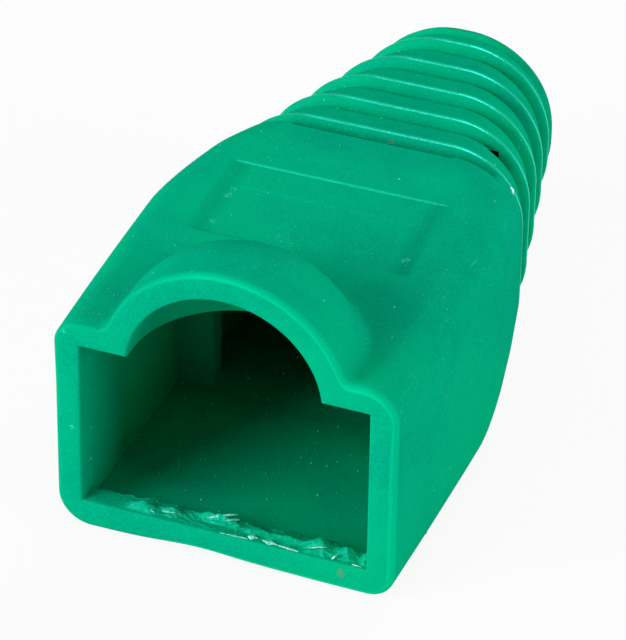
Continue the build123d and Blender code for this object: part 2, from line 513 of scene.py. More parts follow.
def body_stations(shape):
    """Places along the body, from the end of the mouth's rounding to the first groove, in metres."""
    nose = shape.hood_straight + shape.hood_nose * np.sin(np.radians(np.linspace(0, 90, 40)[1:]))
    edges = [FIELD["front"], FIELD["step"], FIELD["back"]]
    fields = np.add.outer(edges, np.array([-0.08, -0.045, -0.015, 0.015, 0.045, 0.08]) * MM)
    plain = [0.45, 0.75, 1.1, 1.35, 1.6, 5.96, 6.03, 6.12, 6.25, 6.45, 6.8, 7.15, 8.1, 8.8, 9.3, 9.65, 9.8]
    plain += [9.95, 10.3, 10.55, 11.2, 11.7, 12.0, 12.7, 13.2, 13.7, 14.05, 14.25, 14.36, 14.42, 14.467]
    plain += [14.52, 14.6, 14.75, 15.1, 15.5, 15.9, 16.15]
    return np.unique(np.concatenate([nose, fields.ravel(), np.array(plain) * MM]))


RING_PARTS = (0, 0.012, 0.025, 0.038, 0.05, 0.062, 0.075, 0.09, 0.105, 0.12, 0.135, 0.15, 0.17, 0.195)
RING_PARTS += (0.23, 0.28, 0.35, 0.43, 0.51, 0.59, 0.67, 0.75, 0.82, 0.87, 0.905, 0.93, 0.95, 0.967)
RING_PARTS += (0.983, 0.994)
RING_CREST = 0.145
RING_PROFILE = (
    (0.0, 1.0, "VECTOR"),
    (0.035, 0.52, "AUTO"),
    (0.065, 0.23, "AUTO"),
    (0.1, 0.06, "AUTO"),
    (RING_CREST, 0.0, "AUTO"),
    (0.2, 0.025, "AUTO"),
    (0.3, 0.13, "AUTO"),
    (0.93, 0.76, "AUTO"),
    (0.975, 0.88, "AUTO"),
    (1.0, 1.0, "VECTOR"),
)
TIP_ROUND = 0.8 * MM
BODY_END_ROUND = 0.18 * MM
CRISP_UP = (0.2, 0.5)
FIRST_GROOVE = 0.62
WEB_SOFT = 0.15 * MM


def tail_stations(shape, tail):
    """Places along the tail, dense at each groove and crest."""
    start = shape.neck_place - tail.groove_lead
    end = shape.total_length - TIP_ROUND
    rings = range(-1, tail.ring_count)
    places = np.array([start + tail.ring_pitch * (ring + part) for ring in rings for part in RING_PARTS])
    body_end = shape.neck_place - tail.body_end
    kept = places[(places > body_end + 0.02 * MM) & (places < end - 0.03 * MM)]
    return np.concatenate([[body_end + 0.001 * MM], kept, [end]])


def web_share(shape, tail, z):
    """One on the side webs that close the first groove, nothing above and below them."""
    edge = tail.web_height / 2
    return smooth(rise(np.abs(z - shape.axis_height), edge + WEB_SOFT, edge - WEB_SOFT))


def groove_mask(shape, tail, points):
    """How deep the grooves go at each point: nothing on the body and the webs, all elsewhere."""
    _, y, z = points.T
    crest = shape.neck_place - tail.groove_lead + RING_CREST * tail.ring_pitch
    mask = np.where(y < crest, FIRST_GROOVE * (1 - web_share(shape, tail, z)), 1.0)
    return mask * (y > shape.neck_place - tail.body_end) * (y < shape.total_length - TIP_ROUND * 1.01)


def outward(shape, points):
    """Unit vectors out of the section at points of the outside."""
    x, y, z = points.T
    step = 0.01 * MM
    across = outer_distance(shape, x + step, y, z) - outer_distance(shape, x - step, y, z)
    up = outer_distance(shape, x, y, z + step) - outer_distance(shape, x, y, z - step)
    size = np.maximum(np.hypot(across, up), 1e-12)
    return np.stack([across / size, np.zeros_like(x), up / size], -1)


def rounding(*degrees):
    """How far a rounding has come along and across at some angles, in shares of its radius."""
    turns = np.radians(degrees)
    return list(zip(1 - np.sin(turns), 1 - np.cos(turns)))


def outer_rows(shape, tail, angles, extra):
    """Loops of points from the mouth's edge to the tip, outside; those of the tail lack the extra angles."""
    edge = between(shape.edge_soft, shape.edge_crisp, rise(np.sin(angles), *CRISP_UP))
    stations = [(edge * along, -edge * off) for along, off in rounding(90, 72, 54, 36, 18, 0)]
    stations += [(y, 0.0) for y in body_stations(shape)]
    rows = [cast(outer_distance, shape, angles, *station) for station in stations]
    plain = angles[~extra]
    body_end = shape.neck_place - tail.body_end
    last = cast(outer_distance, shape, plain, body_end)
    soft = BODY_END_ROUND * (1 - web_share(shape, tail, last[:, 2]))
    ends = rounding(0, 22, 45, 68, 86)
    stations = [(body_end - BODY_END_ROUND * along, -soft * off) for along, off in ends]
    stations += [(y, 0.0) for y in tail_stations(shape, tail)]
    tip = rounding(20, 40, 60, 75, 90)
    stations += [(shape.total_length - TIP_ROUND * along, -TIP_ROUND * off) for along, off in tip]
    return rows + [cast(outer_distance, shape, plain, *station) for station in stations]


def latch_edge(shape, angles):
    """Length of the latch hollow past its straight part, where it leaves the ceiling, for each angle."""
    up = shape.hollow_ceiling - shape.axis_height
    across = up / np.maximum(np.tan(np.clip(angles, 0.05, np.pi - 0.05)), -1e3)
    reach = shape.hood_hollow**2 - (shape.hollow_ceiling - shape.hood_height) ** 2 - across**2
    return np.maximum(np.sqrt(np.maximum(reach, 0)), 0.3 * MM)


LATCH_END = 5.2 * MM
BORE_ROUND = 0.25 * MM
MOUTH_ROUND = 0.1 * MM
HAIR = 0.002 * MM


def inner_rows(shape, angles):
    """Loops of points from the tip back to the mouth, inside."""
    stop_end = THROAT_START + shape.stop_depth
    edge = latch_edge(shape, angles)
    places = [place * MM for place in (27.6, 26, 24, 22.5, 22, 21.5, 19.5, 17.5)]
    places += [FUNNEL_START + HAIR, FUNNEL_START - HAIR, 14.5 * MM, 13 * MM, 11.7 * MM, stop_end + 0.3 * MM]
    places += [stop_end + HAIR, stop_end - HAIR, THROAT_START + HAIR, THROAT_START - HAIR]
    places += [place * MM for place in (9.4, 8.6, 7.6, 6.6, 5.8)]
    past = LATCH_END - HOLLOW_STRAIGHT - edge
    places += [HOLLOW_STRAIGHT + edge + past * part for part in (1, 0.8, 0.6, 0.4, 0.2)]
    turns = np.sin(np.radians(np.linspace(84, 6, 14)))
    places += [HOLLOW_STRAIGHT + edge * part for part in (1.004, 0.996, *turns)]
    places += [HOLLOW_STRAIGHT, 0.6 * MM, 0.3 * MM]
    tip = rounding(90, 60, 30)
    stations = [(shape.total_length - BORE_ROUND * along, BORE_ROUND * off) for along, off in tip]
    stations += [(place, 0.0) for place in places]
    stations += [(MOUTH_ROUND * along, MOUTH_ROUND * off) for along, off in rounding(0, 30, 60, 90)]
    return [cast(inner_distance, shape, angles, *station) for station in stations]


def sleeve_faces(rows, extra):
    """Faces of the closed sleeve made by joining each loop to the next and the last to the first."""
    starts = np.cumsum([0] + [len(row) for row in rows])
    coarse = np.flatnonzero(~extra)
    faces = []
    for k, row in enumerate(rows):
        follow = (k + 1) % len(rows)
        here, there = starts[k], starts[follow]
        if len(row) == len(rows[follow]):
            j = np.arange(len(row))
            up = (j + 1) % len(row)
            faces.extend(np.stack([here + j, there + j, there + up, here + up], 1).tolist())
            continue
        fine_first = len(row) == len(extra)
        for c, f in enumerate(coarse):
            c_up = (c + 1) % len(coarse)
            f_up = coarse[c_up]
            if fine_first:
                corners = [here + f, there + c, there + c_up, here + f_up]
            else:
                corners = [there + f_up, here + c_up, here + c, there + f]
            if extra[(f + 1) % len(extra)]:
                middle = (here if fine_first else there) + f + 1
                faces += [[middle, *side] for side in zip(corners, corners[1:])]
            else:
                faces.append(corners)
    return faces


def new_object(name, data):
    """An object at the origin, in the scene."""
    made = bpy.data.objects.new(name, data)
    bpy.context.scene.collection.objects.link(made)
    return made


def mesh_object(name, points, faces):
    """A mesh object at the origin."""
    mesh = bpy.data.meshes.new(name)
    mesh.from_pydata([tuple(p) for p in np.asarray(points, float)], [], faces)
    mesh.validate()
    mesh.update()
    return new_object(name, mesh)


def evaluated_copy(source, name):
    """A plain mesh object of what an object's modifiers make, in place of it."""
    bpy.context.view_layer.update()
    graph = bpy.context.evaluated_depsgraph_get()
    mesh = bpy.data.meshes.new_from_object(source.evaluated_get(graph))
    old = source.data
    bpy.data.objects.remove(source)
    bpy.data.meshes.remove(old)
    mesh.name = name
    return new_object(name, mesh)


# Geometry nodes: what every tree has


def open_tree(name, **sockets):
    """A geometry node tree with named inputs: the tree, its nodes and the inputs."""
    tree = bpy.data.node_groups.new(name, "GeometryNodeTree")
    sockets = {"Geometry": "Geometry", **sockets, "Material": "Material"}
    for label, kind in sockets.items():
        title = label.replace("_", " ")
        tree.interface.new_socket(title, in_out="INPUT", socket_type=f"NodeSocket{kind}")
    tree.interface.new_socket("Geometry", in_out="OUTPUT", socket_type="NodeSocketGeometry")
    nodes = Nodes(tree)
    given = nodes.make("NodeGroupInput").outputs
    return tree, nodes, {socket.name: Wire(nodes, socket) for socket in given}


def close_tree(nodes, given, geometry):
    """Ends a tree with plain geometry and its material."""
    whole = nodes.out("GeometryNodeRealizeInstances", inputs={"Geometry": geometry})
    inputs = {"Geometry": whole, "Material": given["Material"]}
    dressed = nodes.out("GeometryNodeSetMaterial", inputs=inputs)
    nodes.make("NodeGroupOutput", inputs={"Geometry": dressed})


def apply_tree(source, tree, name, values):
    """The mesh object that a tree makes of another, with its inputs set by their identifiers."""
    modifier = source.modifiers.new(tree.name, "NODES")
    modifier.node_group = tree
    for item in tree.interface.items_tree:
        if item.item_type == "SOCKET" and item.name in values:
            modifier[item.identifier] = values[item.name]
    return evaluated_copy(source, name)


# The ringed sleeve


def ring_tree():
    """Geometry nodes that press the grooves between the rings into the plain tail."""
    sizes = {"Groove start": "Float", "Ring pitch": "Float", "Groove depth": "Float"}
    tree, nodes, given = open_tree("ring_grooves", **sizes)
    along = nodes.part(nodes.out("GeometryNodeInputPosition"), "Y")
    turn = (along - given["Groove start"]) / given["Ring pitch"] + 4.0
    part = nodes.out("ShaderNodeMath", {"operation": "FRACT"}, {0: turn})
    profile = nodes.out("ShaderNodeFloatCurve", {"curve": RING_PROFILE}, {"Value": part})
    vector = {"data_type": "FLOAT_VECTOR"}
    inward = nodes.out("GeometryNodeInputNamedAttribute", vector, {"Name": "groove"})
    move = nodes.scaled(inward, profile * given["Groove depth"])
    inputs = {"Geometry": given["Geometry"], "Offset": move}
    close_tree(nodes, given, nodes.out("GeometryNodeSetPosition", inputs=inputs))
    return tree


# Painted shade deep inside the hollow: none before the first depth, full past the second
HOLLOW_SHADE = (8.0 * MM, 12.5 * MM)
GLOSSY_CREST = (0.11, 0.13, 0.14, 0.24)
# Band of each ring that the painted highlight lightens
PAINTED_HIGHLIGHT_CREST = (0.09, 0.12, 0.18, 0.34)
LINE_HALF = 0.03 * MM
LINE_GLOSS = 0.35
# Strengths of the painted highlight on the crests and on the mouth's edge
CREST_PAINTED_HIGHLIGHT = 0.35
EDGE_PAINTED_HIGHLIGHT = 0.55
# Strengths of the painted shade along the marking field's sides and round the hood
FIELD_PAINTED_SHADE = 0.2
CREASE_PAINTED_SHADE = 0.22


def ring_part(shape, tail, y):
    """Where a point lies in its ring, from 0 at one groove to 1 at the next."""
    return ((y - shape.neck_place + tail.groove_lead) / tail.ring_pitch) % 1.0


def gloss_share(shape, tail, points):
    """One on the crests of the rings, less on the marking field's back edge, nothing on the dull skin."""
    x, y, z = points.T
    part = ring_part(shape, tail, y)
    crest = band(part, *GLOSSY_CREST) * (y > shape.neck_place)
    line = (np.abs(y - FIELD["back"]) < LINE_HALF) & (np.abs(x) < FIELD["half"]) & on_top(shape, z)
    return np.maximum(crest, LINE_GLOSS * line)


def painted_highlight_share(shape, tail, points):
    """How much painted highlight lightens the colour: on the mouth's outer edge, more to the right, and on
    the crests.
    """
    x, y, _ = points.T
    part = ring_part(shape, tail, y)
    crest = band(part, *PAINTED_HIGHLIGHT_CREST) * (y > shape.neck_place)
    # Painted highlight on the mouth's outer edge, fading out towards the left
    edge = rise(y, 0.32 * MM, 0.18 * MM) * (y > HAIR) * rise(x, -3.9 * MM, -0.9 * MM)
    return np.maximum(CREST_PAINTED_HIGHLIGHT * crest, EDGE_PAINTED_HIGHLIGHT * edge)


def painted_shade_share(shape, points):
    """How much painted shade darkens the marking field's sides and the crease round the hood."""
    x, y, z = points.T
    off_band = np.abs(np.abs(x) - FIELD["half"] + 0.3 * MM)
    field = rise(off_band, 0.6 * MM, 0.0) * (y > FIELD["front"]) * (y < FIELD["back"])
    off_hood = np.maximum(outer_hood(shape, x, y, z), 0)
    crease = rise(off_hood, 0.0, 0.3 * MM) * np.exp(-off_hood / (1.4 * MM)) * (y > 0.5 * MM)
    return (FIELD_PAINTED_SHADE * field + CREASE_PAINTED_SHADE * crease) * on_top(shape, z)


def shell_object(shape, tail):
    """The moulding without its grooves, as a closed sleeve, with what its finish needs on its points."""
    angles, extra = section_angles(shape)
    outside = outer_rows(shape, tail, angles, extra)
    rows = outside + inner_rows(shape, angles[~extra])
    points = np.concatenate(rows)
    count = sum(len(row) for row in outside)
    skin = points[:count]
    directions = np.zeros_like(points)
    directions[:count] = -outward(shape, skin) * groove_mask(shape, tail, skin)[:, None]
    points[:count, 2] += field_rise(shape, skin)
    made = mesh_object("boot_shell", points, sleeve_faces(rows, extra))
    groove = made.data.attributes.new("groove", "FLOAT_VECTOR", "POINT")
    groove.data.foreach_set("vector", directions.astype(np.float32).ravel())
    none = np.zeros(len(points) - count)
    shares = {
        # gloss drives the sheen; rim carries a painted highlight; hollow carries painted shade inside the
        # hollow, along the marking field's sides and round the hood
        "gloss": np.append(gloss_share(shape, tail, skin), none),
        "rim": np.append(painted_highlight_share(shape, tail, skin), none),
        "hollow": np.append(painted_shade_share(shape, skin), rise(points[count:, 1], *HOLLOW_SHADE)),
    }
    for name, values in shares.items():
        attribute = made.data.attributes.new(name, "FLOAT", "POINT")
        attribute.data.foreach_set("value", values.astype(np.float32))
    return made


# The torn flash on the lip

FLASH_HALF = 5.97 * MM
FLASH_FRONT = 0.1 * MM
FLASH_BACK = 1.75 * MM
FLASH_SINK = 0.1 * MM
FLASH_REACH = 1.0 * MM
FLASH_THIN = (-4.9 * MM, -3.7 * MM)
FLASH_LUMPS = (
    # centre x and y from the mouth, half width along x and along y, height; millimetres
    (-3.6, 0.5, 0.6, 0.26, 0.3),
    (-2.4, 0.65, 0.4, 0.22, 0.24),
    (-0.6, 0.85, 0.7, 0.2, 0.3),
    (1.1, 0.7, 0.6, 0.25, 0.16),
    (2.5, 0.65, 0.8, 0.22, 0.22),
    (3.85, 0.75, 0.5, 0.34, 0.4),
    (5.0, 0.7, 0.38, 0.3, 0.3),
    (5.8, 0.6, 0.2, 0.3, 0.34),
)


def flash_height(shape, x, y):
    """Height of the ragged flash over the lip, which drops to the floor behind a torn edge."""
    here = Vector((x, y, 0.0)) / MM
    rough = noise.fractal(here * 1.7, 0.9, 2.1, 5)
    fine = noise.noise(here * 7.0)
    amount = between(0.35, 1.0, rise(x, *FLASH_THIN))
    wander = 0.36 * noise.noise(Vector((1.3 * here.x, 4.0, 0.0))) + 0.09 * fine + 0.05
    back = FLASH_REACH + amount * wander * MM
    torn = 1 - abs(noise.noise(Vector((2.2 * here.x + 3.0, 3.4 * here.y, 1.0))))
    ragged = 0.045 * rough + 0.045 * (torn**4 - 0.3) + 0.012 * fine
    for middle_x, middle_y, wide, deep, tall in FLASH_LUMPS:
        ragged += tall * bell(here.x, middle_x, wide) * bell(here.y, middle_y, deep)
    front = rise(y, FLASH_FRONT, FLASH_FRONT + 0.18 * MM)
    top = shape.floor_thickness + shape.lip_rise + front * amount * ragged * MM - 0.01 * MM
    return between(top, shape.floor_thickness - 0.04 * MM, smooth(rise(y, back, back + 0.22 * MM)))


def flash_sheet(shape):
    """The flash as a closed sheet: its ragged top and a flat underside sunk into the floor."""
    xs = np.linspace(-FLASH_HALF, FLASH_HALF, 520)
    ys = np.linspace(FLASH_FRONT, FLASH_BACK, 72)
    top = [(x, y, flash_height(shape, x, y)) for x in xs for y in ys]
    under = [(x, y, shape.floor_thickness - FLASH_SINK) for x in xs for y in ys]
    return np.array(top + under), grid_box_faces(len(xs), len(ys))


def grid_box_faces(rows, columns):
    """Faces of a closed body between an upper and a lower grid of points."""
    below = rows * columns
    faces = []
    for i in range(rows - 1):
        for j in range(columns - 1):
            corner = i * columns + j
            quad = (corner, corner + columns, corner + columns + 1, corner + 1)
            faces.append(quad)
            faces.append(tuple(below + k for k in reversed(quad)))
    grid = np.arange(below).reshape(rows, columns)
    rim = [*grid[0], *grid[1:, -1], *grid[-1, -2::-1], *grid[-2:0:-1, 0]]
    for here, there in zip(rim, rim[1:] + rim[:1]):
        faces.append((here, there, there + below, here + below))
    return faces


FLAKES = (
    # from (x, y, z), to (x, y, z), width, curl, tilt of the flake's face towards the lamp; millimetres
    ((-3.9, 0.52, 1.44), (-3.0, 0.26, 1.32), 0.16, 0.06, 1.0),
    ((-2.75, 0.42, 1.38), (-2.2, 0.46, 1.4), 0.12, 0.03, 0.8),
    ((-1.0, 0.62, 1.36), (0.2, 1.14, 1.52), 0.1, 0.09, 0.9),
    ((-0.2, 0.7, 1.42), (0.35, 0.95, 1.44), 0.09, 0.04, 0.7),
    ((-0.15, 0.09, 1.27), (1.1, 0.1, 1.29), 0.06, 0.015, 1.0),
    ((0.98, 0.2, 1.34), (1.42, 0.22, 1.35), 0.22, 0.01, 1.0),
    ((1.6, 0.16, 1.36), (2.3, 0.12, 1.33), 0.17, 0.02, 1.0),
    ((2.2, 0.12, 1.33), (3.2, 0.1, 1.28), 0.09, 0.02, 1.0),
    ((3.5, 0.3, 1.42), (4.2, 0.5, 1.5), 0.1, 0.06, 0.6),
    ((4.55, 0.12, 1.3), (4.75, 0.3, 1.5), 0.09, 0.03, 0.8),
    ((5.35, 0.14, 1.28), (5.8, 0.12, 1.28), 0.07, 0.02, 0.9),
    # a burr beside the end of the first groove
    ((5.8, 16.8, 9.0), (5.97, 16.78, 8.66), 0.18, 0.02, 1.0),
)
FLAKE_THICK = 0.012 * MM


def flake(start, end, width, curl, tilt, facing):
    """A thin curled sliver between two points, whose face leans to a direction."""
    start, end = Vector(start) * MM, Vector(end) * MM
    along = end - start
    up = (facing * tilt + Vector((0, 0, 1)) * (1 - tilt)).normalized()
    side = along.cross(up).normalized()
    up = side.cross(along).normalized()
    parts, across = np.linspace(0, 1, 13).tolist(), np.linspace(-1, 1, 5).tolist()
    top, under = [], []
    for part in parts:
        place = start + along * part
        ragged = 0.9 + 0.7 * noise.noise(place / MM * 5.0)
        wide = width * MM / 2 * ragged * (1 - abs(2 * part - 1) ** 2.2) + 0.006 * MM
        middle = place + up * float(curl * MM * np.sin(np.pi * part))
        for edge in across:
            point = middle + side * (edge * wide) - up * (0.25 * wide * edge**2)
            top.append(tuple(point))
            under.append(tuple(point - up * FLAKE_THICK))
    return np.array(top + under), grid_box_faces(len(parts), len(across))


def flash_object(shape):
    """The flash sheet and its flakes as one mesh object, its faces outwards."""
    pieces = [flash_sheet(shape)]
    facing = (Vector(CAMERA_BACK) + lamp_direction(*STRIP_DIRECTION)).normalized()
    pieces += [flake(*values, facing) for values in FLAKES]
    points, faces = [], []
    for some_points, some_faces in pieces:
        first = sum(len(part) for part in points)
        points.append(some_points)
        faces += [[first + corner for corner in face] for face in some_faces]
    made = mesh_object("lip_flash", np.concatenate(points), faces)
    whole = bmesh.new()
    whole.from_mesh(made.data)
    bmesh.ops.recalc_face_normals(whole, faces=whole.faces)
    whole.to_mesh(made.data)
    whole.free()
    shiny = np.ones(len(made.data.polygons), np.int32)
    shiny[: len(pieces[0][1])] = 0
    made.data.polygons.foreach_set("material_index", shiny)
    return made


# Dust


def dust_tree():
    """Geometry nodes that scatter small flattened grains over a mesh, most of them on what faces up."""
    floats = ("Density", "Grain size", "Floor height", "Half width", "Half length", "Top")
    tree, nodes, given = open_tree("dust_scatter", **dict.fromkeys(floats, "Float"), Seed="Int")
    place = nodes.out("GeometryNodeInputPosition")
    x, y, z = (nodes.part(place, axis) for axis in "XYZ")
    facing_up = nodes.part(nodes.out("GeometryNodeInputNormal"), "Z").clamped()
    clear = (x.absolute() < given["Half width"]) * (y.absolute() < given["Half length"])
    clear = clear * (z < given["Top"]) * (z > 0.1 * MM)
    on_floor = (z < given["Floor height"]) * facing_up
    patch = (nodes.noise(place, 350.0, 2.0, 0.6) * 2.0 - 0.4).clamped()
    density = given["Density"] * (0.25 + facing_up * 0.75 + on_floor * 3.0) * patch
    scatter = {"Mesh": given["Geometry"], "Selection": clear, "Density": density, "Seed": given["Seed"]}
    points = nodes.out("GeometryNodeDistributePointsOnFaces", inputs=scatter, output="Points")
    grain = nodes.out("GeometryNodeMeshIcoSphere", inputs={"Radius": 1.0, "Subdivisions": 1})
    turned = nodes.chance((0, 0, 0), (6.28, 6.28, 6.28), 3)
    shape = nodes.chance((0.5, 0.35, 0.3), (1.3, 0.9, 0.6), 7)
    chance = nodes.chance(0.0, 1.0, 5)
    size = given["Grain size"] * (0.3 + chance * chance * chance * chance * 1.3)
    grains = {"Points": points, "Instance": grain, "Rotation": turned, "Scale": nodes.scaled(shape, size)}
    close_tree(nodes, given, nodes.out("GeometryNodeInstanceOnPoints", inputs=grains))
    return tree


# Cuts and finish


CORNERS = ((-1, -1), (-1, 1), (1, -1), (1, 1))
SLOT_REACH = 9 * MM
FEWEST_FACES = 10000
SHARP = 38
FLASH_SHARP = 50
PIT = {"x": (4.0 * MM, 4.5 * MM), "y": (-0.35 * MM, 0.3 * MM), "z": (3.62 * MM, 3.88 * MM)}


def corner_boxes(name, shape, tail, sizes, corners):
    """Boxes at the corners of the second groove, mirrored to the sides that are given."""
    ring = shape.neck_place + tail.ring_pitch
    points, faces = [], []
    for side, way in corners:
        xs = sorted(side * edge for edge in sizes["x"])
        ys = [ring + edge for edge in sizes["y"]]
        zs = sorted(shape.axis_height + way * edge for edge in sizes["z"])
        first = len(points)
        points += [(x, y, z) for x in xs for y in ys for z in zs]
        box = ((0, 1, 3, 2), (4, 6, 7, 5), (0, 4, 5, 1), (2, 3, 7, 6), (0, 2, 6, 4), (1, 5, 7, 3))
        faces += [[first + corner for corner in face] for face in box]
    return mesh_object(name, points, faces)


def cut(made, cutter):
    """Adds an exact cut by another object."""
    modifier = made.modifiers.new(cutter.name, "BOOLEAN")
    modifier.operation = "DIFFERENCE"
    modifier.solver = "EXACT"
    modifier.object = cutter


def finish_mesh(made, shift, sharp_degrees=SHARP):
    """Moves a mesh to its place along the frame and shades it smooth except at sharp edges."""
    made.data.transform(Matrix.Translation((0, shift, 0)))
    made.data.shade_smooth()
    made.data.set_sharp_from_angle(angle=np.radians(sharp_degrees))
    made.data.update()


# Materials


HIGHLIGHT_TINT = (0.04, 1.0, 0.85, 1.0)
SLIVER_TINT = (0.5, 1.0, 0.95, 1.0)
SKIN_SHEEN = 0.012
CREST_SHEEN = 0.46
TORN_SHEEN = 0.09
SCRATCH_SHARE = 0.16
SCUFF_SHARE = 0.55
# Dirt on the mouth's face, the lip and a groove: x, y, z and radius in millimetres in the CAD frame
DIRT_PLACES = (
    (4.99, -14.1, 0.83, 0.26),
    (-2.09, -13.5, 1.3, 0.1),
    (-1.52, -13.9, 1.3, 0.08),
    (0.6, 2.6, 9.9, 0.2),
    (7.2, -13.1, 9.5, 0.1),
)
# Pale scuffs beside the marking field and on the mouth's face, the same way
PALE_PLACES = (
    (-3.91, -3.41, 10.08, 0.2),
    (-3.95, -3.84, 10.06, 0.24),
    (-3.86, -5.74, 9.96, 0.2),
    (4.26, -5.53, 9.96, 0.24),
    (-6.61, -14.1, 9.19, 0.14),
    (-5.61, -14.1, 8.79, 0.1),
    (-6.37, -14.1, 4.71, 0.14),
)


def new_material(name):
    """A material and its empty tree of nodes."""
    material = bpy.data.materials.new(name)
    material.use_nodes = True
    return material, Nodes(material.node_tree)


def marks(nodes, place, places):
    """A mask of ragged marks at some places."""
    ragged = nodes.noise(place, 12000.0, 3.0, 0.7)
    marked = 0.0
    for *middle, radius in places:
        inputs = {0: place, 1: tuple(value * MM for value in middle)}
        away = nodes.out("ShaderNodeVectorMath", {"operation": "DISTANCE"}, inputs, "Value")
        marked = (1.0 - away / (radius * MM)).clamped() + marked
    return nodes.ramp((marked * 4.0).clamped() * ragged, (0.5, 0.0), (0.6, 1.0))


def mottled_green(nodes, place, finish):
    """Blotches, and the compound's colour: slightly darker clouds and blotches, paler motes."""
    cloud = nodes.noise(place, 180.0, 4.0, 0.55)
    blotch = nodes.noise(place, 900.0, 5.0, 0.65)
    mottle = nodes.noise(place, 16000.0, 2.0, 0.7)
    shade = nodes.ramp(cloud * 0.2 + blotch * 0.2 + mottle * 0.6, (0.42, 0.0), (0.58, 1.0))
    green = nodes.mix(shade, finish.green_deep, finish.green)
    warm = nodes.ramp(cloud, (0.42, 0.0), (0.62, 1.0)) * 0.6
    green = nodes.mix(warm, green, finish.green_warm)
    speckle = nodes.ramp(nodes.noise(place, 10000.0, 1.5, 0.5), (0.66, 0.0), (0.76, 1.0))
    patch = nodes.ramp(nodes.noise(place, 420.0, 2.0, 0.5), (0.45, 0.0), (0.7, 1.0))
    return blotch, nodes.mix((speckle * (0.3 + patch * 0.7) * 0.5).clamped(), green, finish.dust)


def scratches(nodes, place):
    """Fine scratches that run back along the right wall."""
    inputs = {"Vector": place, "Rotation": (0.35, 0.0, 0.0), "Scale": (400.0, 420.0, 9000.0)}
    stretched = nodes.out("ShaderNodeMapping", {"vector_type": "POINT"}, inputs)
    lines = nodes.ramp(nodes.noise(stretched, 1.0, 2.0, 0.4), (0.66, 0.0), (0.72, 1.0))
    worn = nodes.ramp(nodes.noise(place, 300.0, 2.0, 0.5), (0.5, 0.0), (0.62, 1.0))
    return lines * worn * (nodes.part(place, "X") > 6.5 * MM)


def compound(name, finish, torn=False):
    """The moulded green compound: mottled dull skin, glossy crests, dirt marks, a painted highlight on the
    crests and the mouth's edge, and painted shade that darkens the inside.
    """
    material, nodes = new_material(name)
    place = nodes.place()
    dirty = marks(nodes, place, DIRT_PLACES)
    pale = marks(nodes, place, PALE_PLACES)
    blotch, green = mottled_green(nodes, place, finish)
    lines = scratches(nodes, place)
    # Painted shade: darker inside the hollow, along the marking field's sides and round the hood
    shaded = nodes.mix(nodes.attribute("hollow"), green, finish.green_shade)
    # Painted highlight: lighter on the ring crests and on the mouth's outer edge
    painted_highlight_tone = nodes.mix(nodes.attribute("rim"), shaded, finish.green_painted_highlight)
    worn = (lines * SCRATCH_SHARE + pale * SCUFF_SHARE).clamped()
    base = nodes.mix(dirty, nodes.mix(worn, painted_highlight_tone, finish.dust), finish.dirt)
    fine = nodes.bump(0.35, 0.02, nodes.noise(place, 9000.0, 2.0, 0.6))
    soft = nodes.bump(0.3, 0.05, blotch - lines * 0.3, Normal=fine)
    skin = nodes.surface(base, finish.roughness, soft)
    gloss = nodes.attribute("gloss")
    glint = nodes.noise(place, 16000.0, 2.0, 0.7)
    rough = between(finish.roughness, finish.gloss, gloss) + (glint - 0.5) * 0.3
    sheen = nodes.surface(HIGHLIGHT_TINT, rough.clamped(), soft, metallic=1.0)
    sparkle = nodes.ramp(glint, (0.38, 0.0), (0.62, 1.0)) + 0.5
    if torn:
        amount = TORN_SHEEN + (blotch - 0.5) * 0.8
    else:
        amount = between(SKIN_SHEEN, CREST_SHEEN, gloss)
    nodes.finish(nodes.blend((amount * sparkle - dirty).clamped(), skin, sheen))
    return material


def sliver_material(name, finish):
    """Smooth torn slivers, which glint."""
    material, nodes = new_material(name)
    uneven = nodes.noise(nodes.place(), 3000.0, 2.0, 0.5)
    bump = nodes.bump(0.25, 0.02, uneven)
    # The slivers are mixed towards the pale sliver colour: partly whitened compound, partly a painted glint
    tone = nodes.mix(nodes.ramp(uneven, (0.4, 0.0), (0.6, 1.0)), finish.green, finish.sliver)
    dull = nodes.surface(tone, finish.roughness, bump)
    bright = nodes.surface(SLIVER_TINT, 0.2 + uneven * 0.2, bump, metallic=1.0)
    nodes.finish(nodes.blend((uneven * 1.2 - 0.2).clamped(), dull, bright))
    return material


def speck_material(name, tint):
    """Dust: a dull grain with uneven colour."""
    material, nodes = new_material(name)
    uneven = nodes.noise(nodes.place(), 14000.0, 2.0, 0.6)
    darker = (*(0.6 * channel for channel in tint[:3]), 1.0)
    tone = nodes.mix(nodes.ramp(uneven, (0.35, 0.0), (0.65, 1.0)), darker, tint)
    bump = nodes.bump(0.5, 0.01, uneven)
    nodes.finish(nodes.surface(tone, 0.7 + (uneven - 0.5) * 0.2, bump, specular=0.1))
    return material


# Operators


